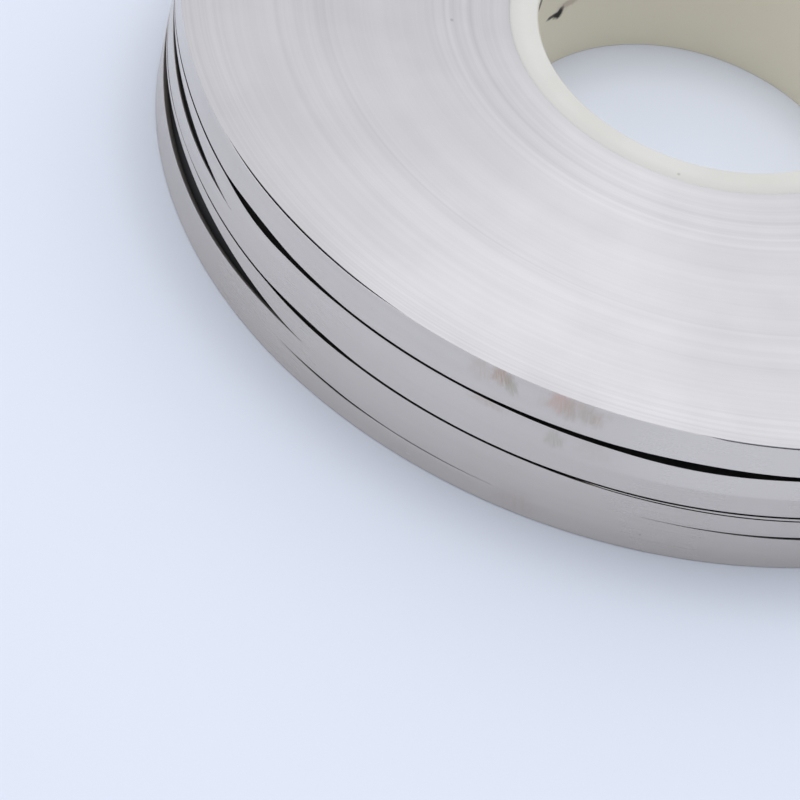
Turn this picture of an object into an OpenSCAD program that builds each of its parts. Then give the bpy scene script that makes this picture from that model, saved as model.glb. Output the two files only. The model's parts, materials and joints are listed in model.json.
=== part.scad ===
// Coil of nickel-plated steel strip, wound to and fro in lanes on a plastic core.
// The coil lies flat: +Z is its axis and the floor is at z = 0. Millimetres and degrees.
// Angles count from +X towards +Y, and the front of the coil is at -90.

/* [Strip] */
// Width of the strip
strip_w = 10; // [9.6:0.1:10.4]
// Thickness of the strip
strip_t = 0.15; // [0.1:0.01:0.3]

/* [Core] */
// Bore of the plastic core
bore_d = 76; // [60:1:90]
// Wall thickness of the core
core_wall = 6.3; // [4:0.1:9]
// How far the core stands up past the wound pack
core_stand = 0; // [0:0.1:5]
// Rounding of the core's rims
core_rim_round = 0.7; // [0.3:0.1:1.9]

/* [Wound pack] */
// Outer diameter of the wound pack
pack_d = 226; // [190:1:300]
// Height of the wound pack
pack_h = 35.2; // [34:0.1:45]
// Clearance between the core and the first turn
wind_clearance = 0.05; // [0.05:0.05:0.3]
// Bands of turns that can be told apart on each end of the pack
end_bands = 28; // [6:1:40]
// How unevenly the edges of those turns lie
end_relief = 0.3; // [0.1:0.05:0.6]

/* [Seams between the lanes] */
// Depth of the seams into the wall
seam_depth = 3.5; // [2:0.5:5]
// Height of the seam where two lanes lie close
seam_gap = 0.6; // [0.3:0.05:0.8]
// How far the top lane's lower edge tucks in behind the lane below
top_tuck = 1.1; // [0.6:0.1:1.6]
// Widest opening of the upper seam, where its lanes bulge apart
upper_opening = 2.2; // [1:0.1:2.6]
// How much taller than the strip the second lane is, where its turns shift up and down
lane_spread = 1; // [0.4:0.1:1.4]
// Widest opening of the middle seam
middle_opening = 1.5; // [0.7:0.1:1.8]
// Height of the bottom lane's lower edge above the floor, under its widest opening
bottom_lift = 0.3; // [0.1:0.1:0.5]
// Widest opening between the bottom lane and the wraps that cross it
crossing_opening = 6; // [2:0.1:6.4]
// Widest opening of the short seams, where a wrap's edge dips in under the next one
short_opening = 1.8; // [1:0.1:2.4]

/* [Outer turns] */
// Angle at which the outer end of the strip is cut off square
free_end_angle = 60; // [20:5:120]
// Turns in the loose outer layer of the top lane
loose_turns = 2; // [1:1:4]
// Widest gap behind the loose outer layer
loose_gap = 0.45; // [0.2:0.05:1]

/* [Hidden] */

$fn = 180;
core_r = bore_d / 2 + core_wall;
core_h = pack_h + core_stand;
wind_r = core_r + wind_clearance;
pack_r = pack_d / 2;
band_w = (pack_r - wind_r) / end_bands;
// Share of each band of turns that lies flat, before the slope to the next one
flat_share = 0.8;
// How far the spaces between the lanes are cut on past the wall of the pack
outside = 3;
// Heights of the middle of the upper seam, of the middle seam, and of the bottom lane's
// upper edge
upper_seam_z = pack_h - strip_w + top_tuck;
middle_seam_z = upper_seam_z - strip_w - lane_spread;
crossing_z = strip_w + bottom_lift;
// Tilt of the upper and the middle seam, whose lanes climb towards climb_angle
upper_tilt = 0.2;
middle_tilt = 0.9;
climb_angle = 165;
// Arc over which the last turn's step fades out behind its cut end
end_fade = 70;

// Openings along the upper and the middle seam: angle of the widest place, arc to each side
// over which the opening closes, and share of the widest opening
upper_openings = [[-134, 12, 1], [-83, 19, 0.9], [-30, 14, 0.7], [25, 18, 0.85], [150, 20, 0.8]];
middle_openings = [[-124, 14, 0.6], [-60, 40, 1], [75, 28, 0.8], [160, 18, 0.6]];
// Openings where wraps cross the bottom lane: height of the middle over the bottom lane's
// upper edge, in widths of the strip, then as above, and slant
crossing_openings = [[0.25, -155, 28.5, 1, -2.6], [-0.27, -50, 36.5, 0.12, -1.7], [0.17, 95, 30, 0.4, -2]];
// Short seams in the bottom lane, as above
bottom_short_seams = [[-0.5, -117, 10, 0.2, -0.6], [-0.45, 135, 18, 0.25, 1]];
// Short seams in the second lane: height over the upper seam, in widths of the strip, then
// as above
second_short_seams = [[-0.21, -156, 16.5, 1, -4.5], [-0.57, 60, 16, 0.5, 3]];
// Gaps behind the loose outer layer: angle of the widest place, arc to each side over which
// the gap closes, and share of the widest gap
loose_places = [[-130, 16, 1], [-66, 18, 0.7], [10, 15, 0.8], [170, 14, 0.6]];

// Uneven but repeatable share from 0 to 1 for a band of turns
function band_share(i) = abs(sin(i * 137.5));

// Edge of one end of the pack, from the core outwards: a flat for each band of turns and
// a short slope to the next
function end_steps() = [
    for (i = [0 : end_bands - 1], side = [0, flat_share])
        [
            wind_r + (i == 0 && side == 0 ? 0 : i + side + (1 - flat_share) / 2) * band_w,
            end_relief * band_share(i)
        ]
];

// Half section of the wound pack, with its turns stepped on both ends
module pack_section() {
    steps = end_steps();
    last = steps[len(steps) - 1][1];
    foot = concat(steps, [[pack_r, last]]);
    polygon(concat(foot, [for (i = [len(foot) - 1 : -1 : 0]) [foot[i][0], pack_h - foot[i][1]]]));
}

// Rectangle with rounded corners, for the wall of the core
module rounded_section(w, h, r) {
    translate([r, 0]) square([w - 2 * r, h]);
    translate([0, r]) square([w, h - 2 * r]);
    for (x = [r, w - r], y = [r, h - r])
        translate([x, y]) circle(r, $fn = 48);
}

// Narrow seam all the way round between two lanes, tilted as the lanes climb
module seam(z, tilt) {
    rotate([0, 0, climb_angle])
        translate([0, 0, z])
            rotate([0, -tilt, 0])
                rotate_extrude()
                    translate([pack_r - seam_depth, -seam_gap / 2])
                        square([seam_depth + outside, seam_gap]);
}

// Lens-shaped opening where two lanes bulge apart. A V-shaped ring stands off centre, so it
// cuts deepest at mid_angle and runs out of the wall at the angle of reach to each side.
module opening(z, w, mid_angle, reach, slant) {
    shift = seam_depth / (1 - cos(reach));
    flare = w / 2 * (seam_depth + outside) / seam_depth;
    rotate([0, 0, mid_angle])
        translate([0, 0, z])
            rotate([slant, 0, 0])
                translate([-shift, 0, 0])
                    rotate_extrude($fn = 360)
                        translate([pack_r + shift, 0])
                            polygon([[-seam_depth, 0], [outside, flare], [outside, -flare]]);
}

// Height of a seam at an angle round the coil
function seam_at(z, tilt, angle) = z + pack_r * tan(tilt) * cos(angle - climb_angle);

// Crescent gap behind the loose outer layer of the top lane, open at the rim
module loose_place(z, gap, mid_angle, reach) {
    shift = gap / (1 - cos(reach));
    layer_r = pack_r - loose_turns * strip_t;
    rotate([0, 0, mid_angle])
        translate([0, 0, z])
            difference() {
                cylinder(h = pack_h, r = layer_r);
                translate([-shift, 0, -1]) cylinder(h = 2 * pack_h, r = layer_r - gap + shift);
            }
}

// Step one strip thick, left beyond the square-cut outer end of the strip in the top lane
module last_turn_step() {
    fade_shift = strip_t / (1 - cos(end_fade));
    rotate([0, 0, free_end_angle])
        difference() {
            rotate_extrude(angle = end_fade)
                translate([pack_r - 2 * strip_t, upper_seam_z]) square([outside, pack_h]);
            translate([fade_shift, 0, -1])
                cylinder(h = 3 * pack_h, r = pack_r - strip_t - fade_shift);
        }
}

module core() {
    color([0.87, 0.87, 0.83])
        rotate_extrude()
            translate([bore_d / 2, 0]) rounded_section(core_wall, core_h, core_rim_round);
}

module wound_strip() {
    color([0.72, 0.71, 0.7])
        difference() {
            rotate_extrude() pack_section();
            seam(upper_seam_z, upper_tilt);
            seam(middle_seam_z, middle_tilt);
            for (o = upper_openings)
                opening(seam_at(upper_seam_z, upper_tilt, o[0]), upper_opening * o[2], o[0], o[1], 0);
            for (o = middle_openings)
                opening(seam_at(middle_seam_z, middle_tilt, o[0]), middle_opening * o[2], o[0], o[1], 0);
            for (o = crossing_openings)
                opening(crossing_z + o[0] * strip_w, crossing_opening * o[3], o[1], o[2], o[4]);
            for (o = bottom_short_seams)
                opening(crossing_z + o[0] * strip_w, short_opening * o[3], o[1], o[2], o[4]);
            for (o = second_short_seams)
                opening(upper_seam_z + o[0] * strip_w, short_opening * o[3], o[1], o[2], o[4]);
            for (p = loose_places)
                loose_place(seam_at(upper_seam_z, upper_tilt, p[0]), loose_gap * p[2], p[0], p[1]);
            last_turn_step();
        }
}

core();
wound_strip();
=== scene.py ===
import json
import math

import bmesh
import bpy
from mathutils import Matrix, Vector, noise


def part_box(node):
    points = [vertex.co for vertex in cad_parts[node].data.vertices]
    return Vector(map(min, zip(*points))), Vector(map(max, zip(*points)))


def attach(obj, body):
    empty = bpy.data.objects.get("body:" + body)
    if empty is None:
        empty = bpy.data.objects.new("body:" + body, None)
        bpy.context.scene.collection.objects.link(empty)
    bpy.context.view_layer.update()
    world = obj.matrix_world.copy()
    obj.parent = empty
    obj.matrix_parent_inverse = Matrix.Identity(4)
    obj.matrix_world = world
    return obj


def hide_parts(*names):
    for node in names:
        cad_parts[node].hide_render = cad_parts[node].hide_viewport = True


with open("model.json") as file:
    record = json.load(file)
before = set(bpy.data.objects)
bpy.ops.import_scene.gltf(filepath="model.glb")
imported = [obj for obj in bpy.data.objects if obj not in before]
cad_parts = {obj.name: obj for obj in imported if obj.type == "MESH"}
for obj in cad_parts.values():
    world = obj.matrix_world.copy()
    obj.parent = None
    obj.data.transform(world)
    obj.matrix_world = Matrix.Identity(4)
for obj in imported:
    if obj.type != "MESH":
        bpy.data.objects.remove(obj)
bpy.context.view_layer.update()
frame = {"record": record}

# Looks of a coil of nickel-plated steel strip that lies flat, wound on a plastic core.
#
# The shapes are in millimetres and degrees, and become metres when a piece is made. Angles
# count from +X towards +Y, and the front of the coil is at -90. Every piece of the coil is a
# closed ring. It is given as rows, and each row is a function of the angle that gives its
# radius, its height, how much painted shade it has and the number of its material.

MM = 0.001
PACK_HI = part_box("wound_strip")[1]
CORE_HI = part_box("core")[1]
PACK_R = PACK_HI.x / MM
PACK_H = PACK_HI.z / MM
CORE_R = CORE_HI.x / MM
CORE_H = CORE_HI.z / MM
BORE_R = frame["record"]["mounts"][0]["dims"]["r_mm"]

# Thickness of the strip
STRIP_T = 0.15
# Columns of each ring
COLUMNS = 480
# Edges that bend more than this stay sharp
SHARP_ANGLE = 28
# How far into the pack the lanes reach, up to the dark wall behind the seams
LANE_DEPTH = 3.6
# Gap between the core and the first turn
CORE_GAP = 0.02
# Where the climbing lanes stand highest
CLIMB_ANGLE = 165
# Numbers of a ring's materials: its outer face, its inside in painted shade, and the top lane's
# end
OUTER, INSIDE, LANE_END = 0, 1, 2


# ---------------------------------------------------------------- shared shape rules
def turned(angle, middle):
    """Angle counted from middle, between -180 and 180."""
    return (angle - middle + 180) % 360 - 180


def lens(angle, middle, reach):
    """Share of a lens-shaped opening: 1 at its middle, and 0 where it has closed."""
    return max(0.0, 1 - (turned(angle, middle) / reach) ** 2)


def bump(angle, middle, spread):
    """Soft hump round the coil."""
    return math.exp(-((turned(angle, middle) / spread) ** 2))


def swing(angle):
    """Rise and fall of the climbing lanes, from -1 to 1."""
    return math.cos(math.radians(turned(angle, CLIMB_ANGLE)))


def soft_step(x):
    """Smooth step from 0 to 1 as x goes from 0 to 1."""
    x = min(1.0, max(0.0, x))
    return x * x * (3 - 2 * x)


def on_circle(radius, angle):
    """X and Y of a place on a circle round the coil's axis."""
    a = math.radians(angle)
    return radius * math.cos(a), radius * math.sin(a)


def drift(angle, height, size, seed):
    """Slow, repeatable unevenness round the wall, between about -1 and 1."""
    x, y = on_circle(PACK_R, angle)
    return noise.noise(Vector((x / size, y / size, height / size + seed)))


# ---------------------------------------------------------------- seams and openings
# Height of each seam's middle, how far it swings as the lanes climb, and its usual gap
UPPER_LEVEL, UPPER_SWING, UPPER_GAP = 26.25, 0.39, 0.7
MIDDLE_LEVEL, MIDDLE_SWING, MIDDLE_GAP = 15.18, 1.77, 0.62

# Humps of a seam's middle, and places where its gap narrows: middle angle, spread and size
UPPER_HUMPS = [(-156, 14, 1.7), (-93, 14, 0.12)]
MIDDLE_HUMPS = [(-75, 25, 0.14), (-150, 9, 0.4), (-134, 15, -0.22), (-115, 11, -0.2)]
MIDDLE_PINCHES = [(-153, 9, -0.42), (-139, 8, -0.12)]

# Openings of the seams: middle angle, reach to each side, and width
UPPER_OPENINGS = [
    (-135.6, 6.5, 0.95), (-131.5, 10.5, 0.8), (-84, 24, 0.8), (-82.5, 9, 0.56),
    (-30, 14, 0.9), (25, 18, 1.2), (150, 20, 1.1),
]
MIDDLE_OPENINGS = [(-125.2, 7, 0.65), (-60, 38, 0.85), (75, 24, 0.7), (160, 15, 0.5)]

# Openings inside a lane: middle angle, reach, width, height at the middle, rise in mm per
# degree, and depth
CROSSING = [
    (-155, 29.8, 5.8, 12.3, -0.08, 2.6),
    (-50, 36.5, 1.15, 7.83, -0.045, 1.1),
    (95, 30, 2.4, 12.0, -0.069, 2.0),
]
LOW = [
    (-120.5, 7.6, 0.5, 5.3, -0.03, 0.5),
    (-110, 8.5, 0.17, 4.99, -0.008, 0.4),
    (135, 18, 0.5, 5.8, 0.034, 0.6),
]
TUCKED = [(-156, 16.2, 3.2, 24.1, -0.175, 1.6), (60, 16, 0.9, 20.6, 0.1, 0.9)]
# Height that an opening keeps where it has closed, so that its rows never fall together
OPENING_LIP = 0.03


def with_humps(value, angle, humps):
    for middle, spread, size in humps:
        value += size * bump(angle, middle, spread)
    return value


def seam_edges(middle, gap, angle, openings, power):
    """Lower and upper edge of a seam that widens at its openings."""
    for mid, reach, width in openings:
        gap += width * lens(angle, mid, reach) ** power
    return middle - gap / 2, middle + gap / 2


def upper_seam(angle):
    """Lower and upper edge of the seam between the top lane and the second."""
    middle = with_humps(UPPER_LEVEL + UPPER_SWING * swing(angle), angle, UPPER_HUMPS)
    gap = UPPER_GAP + 0.05 * drift(angle, 0, 30, 3)
    return seam_edges(middle, gap, angle, UPPER_OPENINGS, 1.5)


def middle_seam(angle):
    """Lower and upper edge of the seam between the second lane and the lower one."""
    middle = with_humps(MIDDLE_LEVEL + MIDDLE_SWING * swing(angle), angle, MIDDLE_HUMPS)
    gap = with_humps(MIDDLE_GAP, angle, MIDDLE_PINCHES) + 0.04 * drift(angle, 0, 25, 5)
    return seam_edges(middle, gap, angle, MIDDLE_OPENINGS, 1.2)


def opening(angle, kind):
    """Middle height, width, depth and share of the openings of one kind at an angle. Between
    two of them the height and the depth pass softly from one to the next."""
    total = height = depth = width = share = 0.0
    for mid, reach, wide, level, rise, deep in kind:
        away = turned(angle, mid)
        near = min(reach, max(-reach, away))
        weight = 1 / (max(0.0, abs(away) - reach) + 2) ** 2
        total += weight
        height += weight * (level + rise * near)
        depth += weight * deep
        width += wide * lens(angle, mid, reach) ** 1.5
        share = max(share, lens(angle, mid, reach))
    return height / total, width, depth / total, share


def opening_edge(kind, side):
    """Upper (side 1) or lower (side -1) edge of the openings of one kind."""
    def edge(angle):
        middle, width, _, _ = opening(angle, kind)
        return middle + side * width / 2 + side * OPENING_LIP
    return edge


# ---------------------------------------------------------------- making pieces
def bent_grid(rows, snap):
    """Closed ring: a flat grid is bent round the coil's axis, row by row, and welded shut.
    snap may move single columns. A face has the material of its first row."""
    count = len(rows)
    bm = bmesh.new()
    bmesh.ops.create_grid(bm, x_segments=count, y_segments=COLUMNS, size=0.5)
    number = bm.verts.layers.int.new("row")
    shade = bm.verts.layers.float.new("shade")
    for vert in bm.verts:
        row = round((vert.co.x + 0.5) * count)
        column = round((vert.co.y + 0.5) * COLUMNS) % COLUMNS
        angle = -180 + 360 * (column / COLUMNS)
        if snap:
            angle = snap(angle)
        radius, height, dark, _ = rows[row % count](angle)
        vert.co = (*on_circle(radius, angle), height)
        vert[number] = row
        vert[shade] = dark
    kinds = [row(0)[3] for row in rows]
    for face in bm.faces:
        face.material_index = kinds[min(vert[number] for vert in face.verts)]
    bmesh.ops.remove_doubles(bm, verts=bm.verts, dist=0.0005)
    return bm


def ring_piece(name, rows, materials, snap=None):
    """Ring in metres, with its sharp edges kept, that rides on the coil's body."""
    bm = bent_grid(rows, snap)
    bmesh.ops.scale(bm, vec=(MM, MM, MM), verts=bm.verts)
    bmesh.ops.recalc_face_normals(bm, faces=bm.faces)
    limit = math.radians(SHARP_ANGLE)
    for face in bm.faces:
        face.smooth = True
    for edge in bm.edges:
        edge.smooth = edge.calc_face_angle(0) < limit
    mesh = bpy.data.meshes.new(name)
    bm.to_mesh(mesh)
    bm.free()
    for material in materials:
        mesh.materials.append(material)
    piece = bpy.data.objects.new(name, mesh)
    bpy.context.scene.collection.objects.link(piece)
    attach(piece, "root")
    return piece


# ---------------------------------------------------------------- the wall's lanes
# How far a lane's edge runs back into its seam
EDGE_BACK = 1.0
# How far the wall lies inside the pack's radius, and how much that varies to each side
WALL_INSET, WALL_UNEVEN = 0.05, 0.04
# Shares of the way down the wall at which its rows lie
WALL_SHARES = (0.08, 0.25, 0.42, 0.58, 0.75, 0.92)
TOP_WALL_SHARES = (0.08, 0.2, 0.35, 0.5, 0.65, 0.8, 0.92)


def bulge(angle, height, seed):
    """How far the wall lies inside the pack's radius, as the turns lie a little unevenly."""
    return WALL_INSET + WALL_UNEVEN * drift(angle, height * 2.5, 28, seed)


def wall_row(share, upper_edge, lower_edge, seed):
    """Row on the open wall, a share of the way down from one edge to the other."""
    def row(angle):
        high, low = upper_edge(angle), lower_edge(angle)
        height = high + (low - high) * share
        return PACK_R - bulge(angle, height, seed), height, 0.0, OUTER
    return row


def edge_rows(edge, seed, side):
    """Rows of a lane's free edge, from the seam's dark inside out to the wall. side is 1 for
    an upper edge and -1 for a lower one."""
    def at(inset, back, material=OUTER):
        def row(angle):
            height = edge(angle)
            radius = PACK_R - bulge(angle, height, seed) - inset
            return radius, height - side * back, 0.0, material
        return row
    def innermost(angle):
        return PACK_R - LANE_DEPTH, edge(angle) - side * EDGE_BACK, 0.0, INSIDE
    return [
        innermost, at(STRIP_T + 0.05, EDGE_BACK, INSIDE), at(STRIP_T, 0.02),
        at(STRIP_T * 0.8, 0), at(0.02, 0), at(0, 0.03),
    ]


def opening_rows(kind, seed):
    """Rows of an opening that fades out into the wall, from its upper edge to its lower one.
    up is the share of the half width at which a row lies, inwards the share of the opening's
    depth, turns how many strip thicknesses it lies in as well, and drop how far it sinks."""
    # dark is the painted shade of a row, which stands for the shadow deep in the opening.
    def row_at(up, inwards, turns, dark, drop=0.0):
        def row(angle):
            middle, width, depth, share = opening(angle, kind)
            open_now = soft_step(share * 7)
            height = middle + up * (width / 2 + OPENING_LIP)
            radius = PACK_R - bulge(angle, height, seed)
            radius -= open_now * (inwards * depth + turns * STRIP_T)
            height -= drop * open_now * min(0.8, 0.5 * width)
            return radius, height, dark * open_now, OUTER
        return row
    return [
        row_at(1.0, 0, 0, 0.0),
        row_at(0.97, 0, 1.2, 0.5),
        row_at(0.9, 1.0, 0, 0.8),
        row_at(0.3, 0.9, 0, 0.88),
        row_at(-0.5, 0.6, 0, 1.0, 0.3),
        row_at(-0.97, 0.4, 1.3, 1.0, 1.0),
        row_at(-1.0, 0, 1.1, 0.3),
        row_at(-1.0, 0, 0.05, 0.0),
    ]


def lane_rows(upper_edge, lower_edge, seed, openings):
    """Rows of a whole lane, from its upper edge down the wall to its lower edge."""
    rows = edge_rows(upper_edge, seed, 1)
    high = upper_edge
    for kind in openings:
        low = opening_edge(kind, 1)
        rows += [wall_row(share, high, low, seed) for share in WALL_SHARES]
        rows += opening_rows(kind, seed)
        high = opening_edge(kind, -1)
    rows += [wall_row(share, high, lower_edge, seed) for share in WALL_SHARES]
    return rows + edge_rows(lower_edge, seed, -1)[::-1]


# Where the slipped turn comes out into the middle seam, and where it stands wide in it:
# middle angle, reach and how fast
STRAY_OUT = [(-52, 52, 1.9), (72, 22, 2.0)]
STRAY_WIDE = [(-52, 36, 1.6), (72, 20, 2.0)]
# How far inside the wall it lies where it shows, and how much deeper where it doesn't
STRAY_INSET, STRAY_HIDDEN = 0.13, 1.2
# Half its height where it stands narrow, and how much more where it stands wide
STRAY_HALF, STRAY_MORE = 0.11, 0.15


def share_shown(angle, places):
    return soft_step(sum(rate * lens(angle, mid, reach) for mid, reach, rate in places))


def stray_turn_rows():
    """Rows of a turn that has slipped outwards inside the middle seam, and shows in it as a
    narrow edge. Elsewhere it lies deep in the pack."""
    def row_at(inwards, side, more=0.0):
        def row(angle):
            low, high = middle_seam(angle)
            deep = STRAY_INSET + STRAY_HIDDEN * (1 - share_shown(angle, STRAY_OUT))
            half = STRAY_HALF + STRAY_MORE * share_shown(angle, STRAY_WIDE) + more
            height = low + (high - low) * 0.48 - deep + side * half
            return PACK_R - deep - inwards, height, 0.0, OUTER
        return row
    return [
        row_at(0.15, -1, 0.03), row_at(0, -1), row_at(0, 0), row_at(0, 1), row_at(0.15, 1, 0.03),
        row_at(0.8, 0),
    ]


# ---------------------------------------------------------------- the ends of the pack
# Distance between the rows across an end
END_ROW = 0.36
# Seeds of the two ends' unevenness
UPPER_SEED, LOWER_SEED = 1, 5
# Height of the pack's shoulders, below which the dark wall behind the seams begins
SHOULDER = 2.0
# Gaps behind the loose outer turn of the top lane: middle angle, reach and width
LOOSE_GAPS = [(-129, 14, 0.26), (-64, 19.5, 0.11), (10, 15, 0.3), (170, 14, 0.27)]
# Places where the loose turn has dropped: middle angle, reach, drop and how fast it drops
LOOSE_DROPS = [(-129, 14, 0.25, 1.2), (-64, 18.9, 0.3, 4), (35, 30, 0.25, 1)]
# Stretch of the rim where the outermost turns have sunk: middle angle, reach and drop
SAG_ANGLE, SAG_REACH, SAG_DROP = -62, 23, 0.7
# Radius from which they sink, and the width over which they do
SAG_START, SAG_WIDTH = 104, 8.8
# How deep the open gap behind the loose turn goes
GAP_DEPTH = 2.6
# How far in from the rim the last turns are measured
NEAR_RIM = 0.2
# Bevel of the loose turn's upper corner
CORNER = 0.012
# Square-cut end of the last turn, and the arc over which its step fades out behind it
FREE_END = 60
END_FADE = 70


def end_relief(radius, angle, seed):
    """How far the edges of the turns lie below the highest one."""
    number = round(radius / END_ROW)
    near_rim = soft_step((radius - 96) / 12)
    x, y = on_circle(radius, angle)
    slow = noise.noise(Vector((radius / 9, seed, 0)))
    cluster = soft_step(0.5 + 1.6 * noise.noise(Vector((radius / 5.5, seed + 7, 0))))
    jitter = noise.noise(Vector((number * 0.73, seed + 3, 0.15 * math.cos(math.radians(angle)))))
    patch = noise.noise(Vector((x / 22, y / 22, seed)))
    size = 0.006 + 0.012 * cluster + 0.012 * near_rim
    return 0.09 + 0.05 * slow + size * jitter + 0.02 * patch


def rim_sag(radius, angle):
    """How far the outermost turns have sunk at the upper end, on one stretch of the rim."""
    share = lens(angle, SAG_ANGLE, SAG_REACH)
    return SAG_DROP * share * soft_step((radius - SAG_START) / SAG_WIDTH)


def end_row(radius, side, seed):
    """Row across an end of the pack. side is 1 for the upper end and -1 for the lower one."""
    def row(angle):
        inset = end_relief(radius, angle, seed)
        if side > 0:
            return radius, PACK_H - (inset + rim_sag(radius, angle)), 0.0, OUTER
        return radius, inset, 0.0, OUTER
    return row


def half_pack_rows(side, seed):
    """Rows of the upper (side 1) or lower (side -1) half of the pack inside the lanes: its
    end and the dark wall behind the seams."""
    inner = CORE_R + CORE_GAP
    outer = PACK_R - LANE_DEPTH
    steps = round((outer - inner) / END_ROW)
    rows = [end_row(inner + (outer - inner) * i / steps, side, seed) for i in range(steps + 1)]
    shoulder = PACK_H - SHOULDER if side > 0 else SHOULDER
    for place in ((outer, shoulder), (outer - 0.2, PACK_H / 2), (inner, PACK_H / 2)):
        rows.append(lambda angle, place=place: (*place, 0.0, INSIDE))
    return rows


def last_turn(angle):
    """How far the wall of the top lane lies in, past the square-cut end of the last turn."""
    past = turned(angle, FREE_END)
    if 0 < past < END_FADE:
        return STRIP_T * (1 - past / END_FADE)
    return 0.0


def snap_to_free_end(angle):
    """Brings the column after the free end close to it, so that the end is cut square."""
    past = turned(angle, FREE_END)
    return FREE_END + 0.02 if 0.3 < past < 1.1 else angle


def loose_gap(angle):
    """Gap behind the loose outer turn of the top lane."""
    return sum(gap * lens(angle, mid, reach) for mid, reach, gap in LOOSE_GAPS)


def rim_level(angle):
    """Height of the turns beside the loose one."""
    return PACK_H - end_relief(PACK_R - NEAR_RIM, angle, UPPER_SEED) - rim_sag(PACK_R, angle)


def loose_top(angle):
    """Height of the upper edge of the loose turn, which has dropped in places."""
    return rim_level(angle) - sum(
        drop * soft_step(rate * lens(angle, mid, reach)) for mid, reach, drop, rate in LOOSE_DROPS
    )


def outer_radius(angle):
    """Radius of the loose turn's outer face."""
    return PACK_R - last_turn(angle)


def inner_radius(angle):
    """Radius of the loose turn's inner face."""
    return PACK_R - STRIP_T - last_turn(angle)


def gap_far(angle):
    """How far in from the loose turn's inner face the gap's other side stands."""
    return 0.03 + loose_gap(angle)


def gap_rows():
    """Rows of the gap behind the loose turn, from its inner side to its outer one. They go
    down and take painted shade only where the gap is open."""
    def row_at(inwards, height_at, dark, deep=0.0):
        def row(angle):
            open_now = soft_step(loose_gap(angle) * 14)
            height = height_at(angle) - deep * open_now
            return inner_radius(angle) - inwards(angle), height, dark * open_now, LANE_END
        return row
    shown = lambda a: min(rim_level(a) - 0.004, loose_top(a) + 0.12)
    foot = lambda a: min(rim_level(a) - 0.008, loose_top(a))
    return [
        row_at(gap_far, rim_level, 0.0),
        row_at(lambda a: gap_far(a) - 0.002, shown, 0.1),
        row_at(lambda a: gap_far(a) - 0.004, foot, 1.0),
        row_at(lambda a: gap_far(a) - 0.012, foot, 1.0, GAP_DEPTH),
        row_at(lambda a: 0.006, foot, 1.0, GAP_DEPTH),
        row_at(lambda a: 0.0, lambda a: loose_top(a) - 0.004, 0.5, 0.04),
    ]


def top_lane_rows():
    """Rows of the top lane: its end, the gap behind the loose outer turn, that turn's edge,
    the wall and the lower edge."""
    seed = 11
    inner = PACK_R - LANE_DEPTH
    edge = lambda a: upper_seam(a)[1]
    def end_at(share):
        level = end_row(inner + share * (LANE_DEPTH - NEAR_RIM), 1, UPPER_SEED)
        def row(angle):
            last = inner_radius(angle) - gap_far(angle) - 0.024
            return inner + 0.004 + share * (last - inner - 0.004), level(angle)[1], 0.0, LANE_END
        return row
    def wall(share):
        def row(angle):
            high, low = loose_top(angle) - 0.04, edge(angle)
            height = high + (low - high) * share
            near = 4 * share * (1 - share)
            radius = PACK_R - near * bulge(angle, height, seed) - last_turn(angle)
            return radius, height, 0.0, OUTER
        return row
    return [
        lambda a: (inner, edge(a) + EDGE_BACK, 0.0, INSIDE),
        *(end_at(i / 8) for i in range(9)),
        *gap_rows(),
        lambda a: (inner_radius(a) + 0.015, loose_top(a), 0.0, LANE_END),
        lambda a: (outer_radius(a) - CORNER, loose_top(a), 0.0, OUTER),
        lambda a: (outer_radius(a), loose_top(a) - CORNER, 0.0, OUTER),
        *(wall(share) for share in TOP_WALL_SHARES),
        lambda a: (outer_radius(a), edge(a) + 0.03, 0.0, OUTER),
        lambda a: (outer_radius(a) - 0.02, edge(a), 0.0, OUTER),
        lambda a: (outer_radius(a) - STRIP_T, edge(a), 0.0, INSIDE),
        lambda a: (outer_radius(a) - STRIP_T - 0.05, edge(a) + EDGE_BACK, 0.0, INSIDE),
    ]


# ---------------------------------------------------------------- node helpers
def put(tree, value, socket):
    """Links a socket to another one, or sets it to a plain value."""
    if isinstance(value, (int, float, tuple)):
        socket.default_value = value
    else:
        tree.links.new(value, socket)


def new_material(name):
    material = bpy.data.materials.new(name)
    material.use_nodes = True
    return material, material.node_tree, material.node_tree.nodes["Principled BSDF"]


def add_node(tree, kind, **settings):
    """Node with its settings. Those that start with in_ are sockets."""
    node = tree.nodes.new(kind)
    for key, value in settings.items():
        if key.startswith("in_"):
            put(tree, value, node.inputs[key[3:]])
        else:
            setattr(node, key, value)
    return node


def maths(tree, operation, a, b=None):
    node = add_node(tree, "ShaderNodeMath", operation=operation)
    put(tree, a, node.inputs[0])
    if b is not None:
        put(tree, b, node.inputs[1])
    return node.outputs[0]


def product(tree, a, b):
    return maths(tree, "MULTIPLY", a, b)


def add_scaled(tree, base, value, factor):
    """base + value * factor."""
    return maths(tree, "ADD", base, product(tree, value, factor))


def ramp(tree, value, low, high, out_low=0.0, out_high=1.0, kind="SMOOTHSTEP"):
    """Passes from out_low to out_high as the value goes from low to high."""
    node = add_node(tree, "ShaderNodeMapRange", interpolation_type=kind, in_Value=value)
    for key, number in (
        ("From Min", low), ("From Max", high), ("To Min", out_low), ("To Max", out_high),
    ):
        node.inputs[key].default_value = number
    return node.outputs["Result"]


def blend_colours(tree, factor, a, b):
    node = add_node(tree, "ShaderNodeMix", data_type="RGBA")
    for number, value in ((0, factor), (6, a), (7, b)):
        put(tree, value, node.inputs[number])
    return node.outputs[2]


def tint(tree, colour, mask, strength, other):
    """Colour blended towards another one, by a mask at less than full strength."""
    return blend_colours(tree, product(tree, mask, strength), colour, other)


def split(tree, vector):
    """X, Y and Z of a vector."""
    node = add_node(tree, "ShaderNodeSeparateXYZ")
    tree.links.new(vector, node.inputs[0])
    return node.outputs


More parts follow.
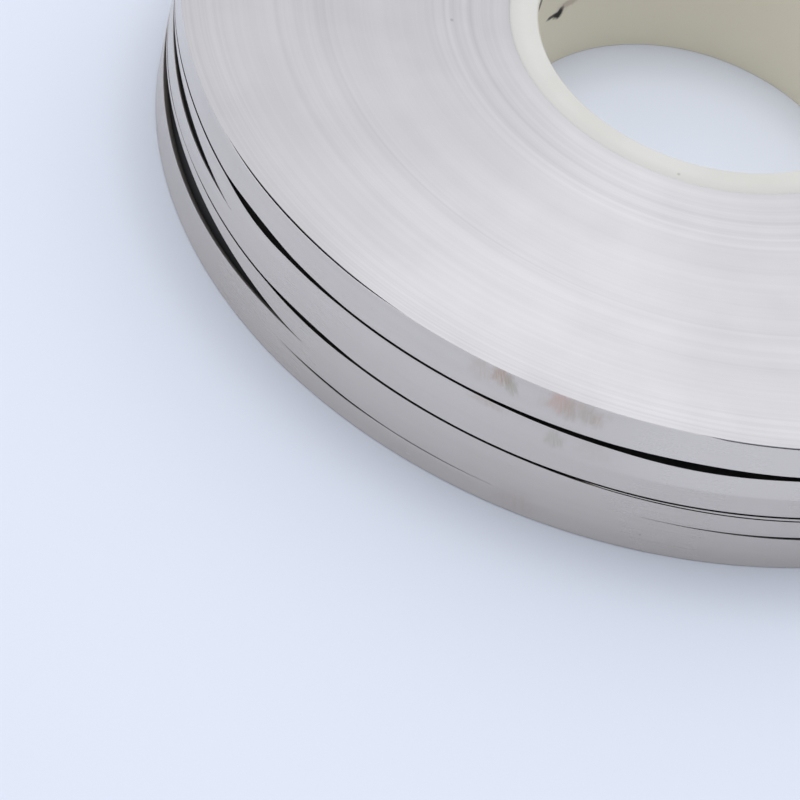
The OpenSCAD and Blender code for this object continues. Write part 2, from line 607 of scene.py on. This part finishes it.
def join(tree, *values):
    """Vector of an X, a Y and a Z."""
    node = add_node(tree, "ShaderNodeCombineXYZ")
    for value, socket in zip(values, node.inputs):
        put(tree, value, socket)
    return node.outputs[0]


def stretch(tree, vector, factors):
    node = add_node(tree, "ShaderNodeVectorMath", operation="MULTIPLY")
    tree.links.new(vector, node.inputs[0])
    node.inputs[1].default_value = factors
    return node.outputs[0]


def distance(tree, vector):
    node = add_node(tree, "ShaderNodeVectorMath", operation="LENGTH")
    tree.links.new(vector, node.inputs[0])
    return node.outputs["Value"]


def axis_distance(tree, position):
    """Distance from the coil's axis."""
    return distance(tree, stretch(tree, position, (1, 1, 0)))


def noise_at(tree, vector, scale, detail, roughness):
    node = add_node(
        tree, "ShaderNodeTexNoise",
        in_Vector=vector, in_Scale=scale, in_Detail=detail, in_Roughness=roughness,
    )
    return node.outputs["Fac"]


def object_place(tree):
    return add_node(tree, "ShaderNodeTexCoord").outputs["Object"]


def shade_of(tree):
    """How much painted shade a place has, inside the openings and gaps."""
    return add_node(tree, "ShaderNodeAttribute", attribute_name="shade").outputs["Fac"]


def add_bump(tree, surface, height, strength, depth):
    raised = add_node(
        tree, "ShaderNodeBump", in_Strength=strength, in_Distance=depth, in_Height=height
    )
    tree.links.new(raised.outputs["Normal"], surface.inputs["Normal"])


def new_group(name, inputs, output):
    """Group with inputs, each of a name, a kind and a plain value, and one number out."""
    tree = bpy.data.node_groups.new(name, "ShaderNodeTree")
    for label, kind, value in inputs:
        socket = tree.interface.new_socket(label, in_out="INPUT", socket_type=kind)
        if value is not None:
            socket.default_value = value
    tree.interface.new_socket(output, in_out="OUTPUT", socket_type="NodeSocketFloat")
    into, out = tree.nodes.new("NodeGroupInput"), tree.nodes.new("NodeGroupOutput")
    return tree, into.outputs, out.inputs[output]


def use_group(tree, group, **values):
    """Result of a group. Underscores in the names stand for spaces."""
    node = add_node(tree, "ShaderNodeGroup", node_tree=group)
    for key, value in values.items():
        put(tree, value, node.inputs[key.replace("_", " ")])
    return node.outputs[0]


# ---------------------------------------------------------------- shared effects
def clouds_group():
    """Soft uneven patches, as a mask from 0 to 1."""
    tree, into, mask = new_group(
        "clouds",
        [
            ("Position", "NodeSocketVector", None),
            ("Scale", "NodeSocketFloat", 30.0),
            ("Detail", "NodeSocketFloat", 3.0),
        ],
        "Mask",
    )
    cloud = noise_at(tree, into["Position"], into["Scale"], into["Detail"], 0.55)
    tree.links.new(ramp(tree, cloud, 0.3, 0.7), mask)
    return tree


def rolled_lines_group():
    """Fine lines along the strip: they change fast across it and slowly along it."""
    tree, into, lines = new_group(
        "rolled_lines",
        [
            ("Position", "NodeSocketVector", None),
            ("Lines per metre", "NodeSocketFloat", 3000.0),
        ],
        "Lines",
    )
    x, y, z = split(tree, into["Position"])
    across = product(tree, z, into["Lines per metre"])
    place = join(tree, product(tree, x, 14.0), product(tree, y, 14.0), across)
    tree.links.new(noise_at(tree, place, 1.0, 3.0, 0.6), lines)
    return tree


def spot_group():
    """Ragged spot, as a mask. Local is the place seen from the spot's middle, at such a size
    that the spot reaches 1 from it."""
    tree, into, mask = new_group(
        "ragged_spot",
        [
            ("Local", "NodeSocketVector", None),
            ("Position", "NodeSocketVector", None),
            ("Raggedness", "NodeSocketFloat", 0.5),
            ("Grain", "NodeSocketFloat", 900.0),
        ],
        "Mask",
    )
    grain = noise_at(tree, into["Position"], into["Grain"], 4.0, 0.65)
    ragged = product(tree, maths(tree, "SUBTRACT", grain, 0.5), into["Raggedness"])
    reach = maths(tree, "ADD", distance(tree, into["Local"]), ragged)
    tree.links.new(ramp(tree, reach, 1.0, 0.35), mask)
    return tree


def smear_group():
    """Faint rubbed stain with ragged edges and streaks across the strip, as a mask. Local is
    as in the ragged spot."""
    tree, into, mask = new_group(
        "rubbed_stain",
        [("Local", "NodeSocketVector", None), ("Raggedness", "NodeSocketFloat", 0.5)],
        "Mask",
    )
    local = into["Local"]
    grain = noise_at(tree, stretch(tree, local, (1, 2.2, 1.6)), 1.0, 3.0, 0.6)
    ragged = product(tree, maths(tree, "SUBTRACT", grain, 0.5), into["Raggedness"])
    body = ramp(tree, maths(tree, "ADD", distance(tree, local), ragged), 1.15, 0.35)
    streaks = noise_at(tree, stretch(tree, local, (1, 7.0, 0.9)), 1.0, 2.0, 0.6)
    tree.links.new(product(tree, body, ramp(tree, streaks, 0.35, 0.62, 0.45, 1.0)), mask)
    return tree


CLOUDS = clouds_group()
ROLLED_LINES = rolled_lines_group()
SPOT = spot_group()
SMEAR = smear_group()


def local_place(tree, position, where, size, lean):
    """Position seen from a place on the coil. where is (radius, angle, height), and size its
    half lengths in mm through the wall, along it and up."""
    radius, angle, height = where
    mapping = add_node(tree, "ShaderNodeMapping", vector_type="TEXTURE", in_Vector=position)
    middle = (*on_circle(radius, angle), height)
    mapping.inputs["Location"].default_value = tuple(v * MM for v in middle)
    mapping.inputs["Rotation"].default_value = (math.radians(lean), 0, math.radians(angle))
    mapping.inputs["Scale"].default_value = tuple(s * MM for s in size)
    return mapping.outputs[0]


def spot(tree, position, where, size, lean, raggedness, grain):
    """Mask of a ragged spot."""
    local = local_place(tree, position, where, size, lean)
    return use_group(
        tree, SPOT, Local=local, Position=position, Raggedness=raggedness, Grain=grain
    )


def smear(tree, position, where, size, lean, raggedness):
    """Mask of a rubbed patch."""
    local = local_place(tree, position, where, size, lean)
    return use_group(tree, SMEAR, Local=local, Raggedness=raggedness)


def grain_both_ways(tree, surface, amount):
    """Blurs reflections more across the turns than along them."""
    around = add_node(tree, "ShaderNodeTangent", direction_type="RADIAL", axis="Z")
    surface.inputs["Anisotropic"].default_value = amount
    surface.inputs["Anisotropic Rotation"].default_value = 0.25
    tree.links.new(around.outputs[0], surface.inputs["Tangent"])


# ---------------------------------------------------------------- colours and marks
NICKEL = (0.69, 0.64, 0.595, 1)
NICKEL_DIM = (0.65, 0.60, 0.555, 1)
NICKEL_PAINTED_HIGHLIGHT = (0.745, 0.692, 0.643, 1)
STAIN_BROWN = (0.52, 0.40, 0.32, 1)
STAIN_PINK = (0.64, 0.42, 0.35, 1)
STAIN_GREEN = (0.46, 0.42, 0.34, 1)
SHADOW = (0.012, 0.012, 0.013, 1)
SHADOW_LIGHTER = (0.03, 0.029, 0.028, 1)
EDGE_METAL = (0.62, 0.607, 0.628, 1)
EDGE_DIM = (0.48, 0.47, 0.483, 1)
EDGE_SPECK = (0.3, 0.29, 0.3, 1)
CREAM = (0.69, 0.685, 0.655, 1)
CREAM_DIM = (0.65, 0.64, 0.605, 1)
CREAM_BORE = (0.78, 0.73, 0.605, 1)
CREAM_RIM_SHADE = (0.638, 0.633, 0.606, 1)
INK = (0.006, 0.004, 0.003, 1)
INK_RIM = (0.06, 0.06, 0.055, 1)
SMUDGE = (0.55, 0.47, 0.42, 1)
SMUDGE_TAIL = (0.36, 0.28, 0.22, 1)
CORE_SPECK = (0.4, 0.36, 0.3, 1)
TABLE = (0.755, 0.805, 0.925, 1)

# Faint stains on the wall: angle, height, half length along the strip and up, lean, strength
# and colour
STAINS = [
    (-105.6, 32.8, 3.0, 3.6, 8, 0.3, STAIN_BROWN),
    (-103.4, 33.4, 2.6, 3.0, 14, 0.92, STAIN_BROWN),
    (-102.3, 32.2, 1.6, 3.0, 24, 0.8, STAIN_GREEN),
    (-95.7, 32.6, 7.4, 3.8, 2, 0.42, STAIN_BROWN),
    (-97.1, 33.2, 2.8, 3.6, 6, 0.6, STAIN_PINK),
    (-96.2, 31.8, 2.0, 3.2, 3, 0.4, STAIN_GREEN),
    (-94.3, 32.0, 2.4, 3.0, 2, 0.38, STAIN_GREEN),
    (-93.2, 31.6, 1.6, 2.6, 0, 0.3, STAIN_BROWN),
    (-104.0, 25.1, 4.6, 1.2, 0, 0.35, STAIN_BROWN),
    (-96.7, 23.1, 2.4, 2.6, 12, 0.5, STAIN_GREEN),
    (-92.6, 23.4, 5.0, 3.0, 0, 0.14, STAIN_BROWN),
    (-98.4, 3.2, 6.0, 3.4, 0, 0.2, STAIN_BROWN),
]

# Marks on the core: place as (radius, angle, height), half lengths through the wall, along it
# and up, lean, strength and colour
CORE_MARKS = [
    ((BORE_R, 150.0, 17.4), (3, 4.5, 2.6), 0, 0.25, SMUDGE),
    ((BORE_R, 155.0, 16.95), (3, 3.2, 0.85), 9, 0.9, INK),
    ((BORE_R, 151.9, 16.25), (3, 2.0, 1.35), 20, 1.0, INK),
    ((BORE_R, 150.3, 16.5), (3, 1.5, 2.3), 0, 1.0, INK),
    ((BORE_R, 150.3, 17.3), (3, 1.1, 1.1), 0, 0.96, INK),
    ((BORE_R, 146.4, 17.9), (3, 4.4, 1.4), 3, 0.5, SMUDGE_TAIL),
    ((BORE_R, 172.6, 28.6), (3, 2.2, 3.9), 0, 0.9, INK_RIM),
    ((BORE_R + 4.6, -92.6, CORE_H), (0.5, 0.5, 2), 0, 0.6, CORE_SPECK),
]

# How strongly the fine ring lines show on the ends of the pack, by distance from the axis
RING_ZONES = [
    (44.5, 0.12), (50, 0.22), (53, 0.25), (59, 0.25), (62, 0.12), (72, 0.08), (80, 0.12),
    (84, 0.25), (89, 0.15), (93, 0.22), (96, 0.12), (103, 0.12), (106, 0.3), (112.5, 0.4),
]

# Rings that stand out: distance from the axis, half width, and how much darker than the rest
RING_MARKS = [
    # The first ring, beside the core, is painted shade over the innermost turns.
    (43.8, 1.6, 0.22), (46.4, 1.4, -0.18), (49.3, 0.7, 0.09), (52.7, 0.75, 0.26),
    (53.9, 0.8, -0.09), (56.3, 0.8, 0.17), (57.3, 0.6, -0.14), (58.3, 0.6, 0.1),
    (59.5, 0.9, -0.17), (66.5, 1.8, 0.12), (83.5, 0.5, 0.18), (85.1, 0.5, 0.1),
    (87.0, 1.7, -0.12), (89.2, 1.2, 0.08), (93.2, 1.0, 0.16), (112.8, 5.0, 0.17),
]


# ---------------------------------------------------------------- materials
def second_lane_painted_highlight(tree, place):
    """Mask of a painted highlight on the upper half of the second lane, in front, where a crease
    tilts the strip towards the light.
    """
    upper = ramp(tree, split(tree, place)["Z"], 19.6 * MM, 20.4 * MM)
    along = split(tree, local_place(tree, place, (PACK_R, -68, 20), (4, 56, 4), 0))["Y"]
    return product(tree, upper, ramp(tree, maths(tree, "ABSOLUTE", along), 1.0, 0.5))


def nickel_band():
    """Bright plated strip, with fine rolled lines, faint stains, a painted highlight on the
    second lane and painted shade in the openings.
    """
    material, tree, surface = new_material("nickel_band")
    place = object_place(tree)
    fine = use_group(tree, ROLLED_LINES, Position=place, Lines_per_metre=5200.0)
    broad = use_group(tree, ROLLED_LINES, Position=place, Lines_per_metre=520.0)
    cloud = use_group(tree, CLOUDS, Position=place, Scale=34.0, Detail=3.0)
    tone = add_scaled(tree, product(tree, ramp(tree, broad, 0.35, 0.65), 0.5), cloud, 0.4)
    colour = blend_colours(tree, tone, NICKEL, NICKEL_DIM)
    # Painted highlight: the upper half of the second lane is painted lighter.
    colour = blend_colours(tree, second_lane_painted_highlight(tree, place), colour, NICKEL_PAINTED_HIGHLIGHT)
    for angle, height, along, up, lean, strength, stain in STAINS:
        mask = smear(tree, place, (PACK_R, angle, height), (4, along, up), lean, 1.1)
        colour = tint(tree, colour, mask, strength, stain)
    speck = spot(tree, place, (PACK_R, -85.8, 4.6), (4, 0.4, 0.4), 0, 0.9, 420.0)
    colour = tint(tree, colour, speck, 0.6, STAIN_BROWN)
    # Painted shade inside the openings and gaps: the colour goes towards black and the metal
    # dulls.
    dark = shade_of(tree)
    put(tree, blend_colours(tree, dark, colour, SHADOW), surface.inputs["Base Color"])
    put(tree, add_scaled(tree, 1.0, dark, -0.85), surface.inputs["Metallic"])
    rough = add_scaled(tree, add_scaled(tree, 0.2, cloud, 0.06), fine, 0.04)
    put(tree, add_scaled(tree, rough, dark, 0.5), surface.inputs["Roughness"])
    grain_both_ways(tree, surface, 0.5)
    add_bump(tree, surface, fine, 0.02, 0.00002)
    return material


def ring_lines(tree, place, radius, per_metre, detail, wander):
    """Lines that change fast with the distance from the axis, and slowly along the turns."""
    x, y, _ = split(tree, place)
    spread = join(
        tree, product(tree, radius, per_metre), product(tree, x, wander), product(tree, y, wander)
    )
    return noise_at(tree, spread, 1.0, detail, 0.7)


def ring_zones(tree, radius):
    """Strength of the ring lines at a distance from the axis."""
    zones = add_node(tree, "ShaderNodeValToRGB")
    points = zones.color_ramp.elements
    for i, (at, strength) in enumerate(RING_ZONES):
        where = (at - CORE_R) / (PACK_R - CORE_R)
        point = points.new(where) if i else points[0]
        point.position = where
        point.color = (strength, strength, strength, 1)
    points.remove(points[-1])
    span = ramp(tree, radius, CORE_R * MM, PACK_R * MM, kind="LINEAR")
    tree.links.new(span, zones.inputs["Fac"])
    return zones.outputs["Color"]


def turn_edges():
    """The slit edges of the turns on the ends of the pack: satin metal in fine rings."""
    material, tree, surface = new_material("turn_edges")
    place = object_place(tree)
    radius = axis_distance(tree, place)
    fine = ring_lines(tree, place, radius, 1150.0, 2.0, 7.0)
    broad = ring_lines(tree, place, radius, 130.0, 3.0, 5.0)
    cloud = use_group(tree, CLOUDS, Position=place, Scale=38.0, Detail=4.0)
    line = product(tree, ramp(tree, fine, 0.35, 0.66, -0.4, 1.0), ring_zones(tree, radius))
    tone = add_scaled(tree, product(tree, line, 0.6), cloud, 0.12)
    tone = add_scaled(tree, tone, ramp(tree, broad, 0.3, 0.7), 0.1)
    for at, half, darker in RING_MARKS:
        away = maths(tree, "ABSOLUTE", maths(tree, "SUBTRACT", radius, at * MM))
        tone = maths(tree, "ADD", tone, ramp(tree, away, half * MM, 0.0, 0.0, darker))
    tone = maths(tree, "ADD", tone, 0.22)
    colour = blend_colours(tree, tone, EDGE_METAL, EDGE_DIM)
    speck = spot(tree, place, (56.6, -164.2, PACK_H), (0.5, 0.6, 2), 0, 0.6, 700.0)
    colour = tint(tree, colour, speck, 0.5, EDGE_SPECK)
    # Painted shade inside the gap behind the loose turn.
    put(tree, blend_colours(tree, shade_of(tree), colour, SHADOW), surface.inputs["Base Color"])
    put(tree, 1.0, surface.inputs["Metallic"])
    put(tree, add_scaled(tree, 0.5, cloud, 0.06), surface.inputs["Roughness"])
    grain_both_ways(tree, surface, 0.4)
    add_bump(tree, surface, fine, 0.25, 0.00003)
    return material


def lap_shadow():
    """Painted shade on the inside of the seams: nearly black, in faint patches."""
    material, tree, surface = new_material("lap_shadow")
    cloud = use_group(tree, CLOUDS, Position=object_place(tree), Scale=300.0, Detail=2.0)
    put(tree, blend_colours(tree, cloud, SHADOW, SHADOW_LIGHTER), surface.inputs["Base Color"])
    put(tree, add_scaled(tree, 0.7, cloud, 0.2), surface.inputs["Roughness"])
    return material


def core_plastic():
    """Cream moulded plastic: lighter and warmer in the bore, with painted shade towards the outer
    rim, with faint clouding and grain, and dark smudges in the bore."""
    material, tree, surface = new_material("core_plastic")
    place = object_place(tree)
    radius = axis_distance(tree, place)
    cloud = use_group(tree, CLOUDS, Position=place, Scale=60.0, Detail=3.0)
    colour = blend_colours(tree, cloud, CREAM, CREAM_DIM)
    # The bore wall is lighter and warmer than the rim.
    bore = ramp(tree, radius, (BORE_R + 0.25) * MM, (BORE_R + 0.02) * MM)
    colour = blend_colours(tree, bore, colour, CREAM_BORE)
    # Painted shade towards the outer rim of the core.
    edge = ramp(tree, radius, 41.0 * MM, 43.6 * MM)
    colour = blend_colours(tree, edge, colour, CREAM_RIM_SHADE)
    for where, size, lean, strength, mark in CORE_MARKS:
        mask = spot(tree, place, where, size, lean, 0.8, 700.0)
        colour = tint(tree, colour, mask, strength, mark)
    put(tree, colour, surface.inputs["Base Color"])
    # Thick ink takes up the shine of the plastic as well
    lightness = add_node(tree, "ShaderNodeRGBToBW", in_Color=colour).outputs[0]
    put(tree, ramp(tree, lightness, 0.15, 0.03), surface.inputs["Metallic"])
    put(tree, add_scaled(tree, 0.46, cloud, 0.1), surface.inputs["Roughness"])
    add_bump(tree, surface, noise_at(tree, place, 900.0, 3.0, 0.5), 0.12, 0.00005)
    return material


def pale_table():
    """Plain pale floor."""
    material, tree, surface = new_material("pale_table")
    put(tree, TABLE, surface.inputs["Base Color"])
    put(tree, 0.6, surface.inputs["Roughness"])
    return material


# ---------------------------------------------------------------- camera, light and floor
CAMERA_ELEVATION = 45.57
CAMERA_ROLL = 15.66
# Where the coil's foot lies as the camera sees it: right, up and back, in outer radii
COIL_FROM_CAMERA = (0.5261, 0.4463, -7.6005)
# Colour and strength of the surroundings
SKY, SKY_STRENGTH = (0.935, 0.965, 1, 1), 0.54
# Soft square lights: name, azimuth, elevation, distance and size in metres, and watts
PANELS = [
    ("key_panel", 75, 50, 2.2, 2.4, 12),
    ("top_panel", 120, 85, 2.0, 1.2, 14),
    ("left_panel", 195, 35, 1.5, 1.0, 2.4),
]
# Half width of the floor in metres
FLOOR_HALF = 3


def aim_camera(pack_r):
    """Long lens, looking down on the front left of the coil, rolled so that the coil leans."""
    elevation = math.radians(CAMERA_ELEVATION)
    roll = math.radians(CAMERA_ROLL)
    offset = Vector(COIL_FROM_CAMERA) * pack_r
    back = Vector((0, -math.cos(elevation), math.sin(elevation)))
    right = Vector((1, 0, 0))
    up = back.cross(right)
    cam_x = right * math.cos(roll) + up * math.sin(roll)
    cam_y = up * math.cos(roll) - right * math.sin(roll)
    turn = Matrix((cam_x, cam_y, back)).transposed()
    data = bpy.data.cameras.new("coil_camera")
    data.lens = 180
    data.sensor_width = 36
    data.clip_start = 0.05
    camera = bpy.data.objects.new("coil_camera", data)
    camera.matrix_world = Matrix.Translation(-(turn @ offset)) @ turn.to_4x4()
    bpy.context.scene.collection.objects.link(camera)
    bpy.context.scene.camera = camera


def add_panel(name, azimuth, elevation, away, size, watts):
    """Soft square light that faces the coil. Azimuth counts from +X towards +Y."""
    a, e = math.radians(azimuth), math.radians(elevation)
    towards = Vector((math.cos(a) * math.cos(e), math.sin(a) * math.cos(e), math.sin(e)))
    data = bpy.data.lights.new(name, "AREA")
    data.shape = "SQUARE"
    data.size = size
    data.energy = watts
    lamp = bpy.data.objects.new(name, data)
    lamp.location = towards * away
    lamp.rotation_euler = towards.to_track_quat("Z", "Y").to_euler()
    bpy.context.scene.collection.objects.link(lamp)


def set_studio():
    """Plain pale floor and surroundings, and three soft lights."""
    scene = bpy.context.scene
    scene.view_settings.view_transform = "Standard"
    world = bpy.data.worlds.new("studio")
    scene.world = world
    world.use_nodes = True
    background = world.node_tree.nodes["Background"]
    background.inputs["Color"].default_value = SKY
    background.inputs["Strength"].default_value = SKY_STRENGTH
    for panel in PANELS:
        add_panel(*panel)
    bm = bmesh.new()
    bmesh.ops.create_grid(bm, x_segments=1, y_segments=1, size=FLOOR_HALF)
    mesh = bpy.data.meshes.new("floor")
    bm.to_mesh(mesh)
    bm.free()
    mesh.materials.append(pale_table())
    floor = bpy.data.objects.new("floor", mesh)
    scene.collection.objects.link(floor)


# ---------------------------------------------------------------- building the coil
# How wide the slope along the outer rim of the core is, and how far it falls
SLOPE_WIDTH, SLOPE_FALL = 2.6, 0.36
# Roundings of the core's corners: outer foot, inner rim and inner foot
FOOT_ROUND, RIM_ROUND, BORE_FOOT_ROUND = 0.05, 0.7, 0.2


def core_rows():
    """Rows round the core's section: up its outer side, over the rim and down the bore."""
    points = []
    def corner(x, z, start, rounding):
        for i in range(7):
            a = math.radians(start + 90 * i / 6)
            points.append((x + rounding * math.cos(a), z + rounding * math.sin(a)))
    corner(CORE_R - FOOT_ROUND, FOOT_ROUND, -90, FOOT_ROUND)
    for i in range(9, 0, -1):
        radius = CORE_R - SLOPE_WIDTH + SLOPE_WIDTH * i / 9
        points.append((radius, CORE_H - SLOPE_FALL * (i / 9) ** 2))
    corner(BORE_R + RIM_ROUND, CORE_H - RIM_ROUND, 90, RIM_ROUND)
    points.extend((BORE_R, z) for z in (24, 17.6, 11))
    corner(BORE_R + BORE_FOOT_ROUND, BORE_FOOT_ROUND, 180, BORE_FOOT_ROUND)
    return [lambda angle, point=point: (*point, 0.0, OUTER) for point in points]


def make_core(material):
    piece = ring_piece("core_tube", core_rows(), [material])
    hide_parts("core")


def make_strip(band, edges, shadow):
    """The wound strip: the pack with its turn edges, the three lanes on its wall and the
    slipped turn between two of them."""
    second = lane_rows(lambda a: upper_seam(a)[0], lambda a: middle_seam(a)[1], 23, [TUCKED])
    lowest = lane_rows(lambda a: middle_seam(a)[0], lambda a: 0.12, 37, [CROSSING, LOW])
    rings = [
        ("turns_upper_end", half_pack_rows(1, UPPER_SEED), [edges, shadow], None),
        ("turns_lower_end", half_pack_rows(-1, LOWER_SEED), [edges, shadow], None),
        ("lane_top", top_lane_rows(), [band, shadow, edges], snap_to_free_end),
        ("lane_second", second, [band, shadow], None),
        ("lane_lower", lowest, [band, shadow], None),
        ("stray_turn", stray_turn_rows(), [band], None),
    ]
    for name, rows, materials, snap in rings:
        made = ring_piece(name, rows, materials, snap)
        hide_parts("wound_strip")


aim_camera(PACK_HI.x)
set_studio()
make_core(core_plastic())
make_strip(nickel_band(), turn_edges(), lap_shadow())
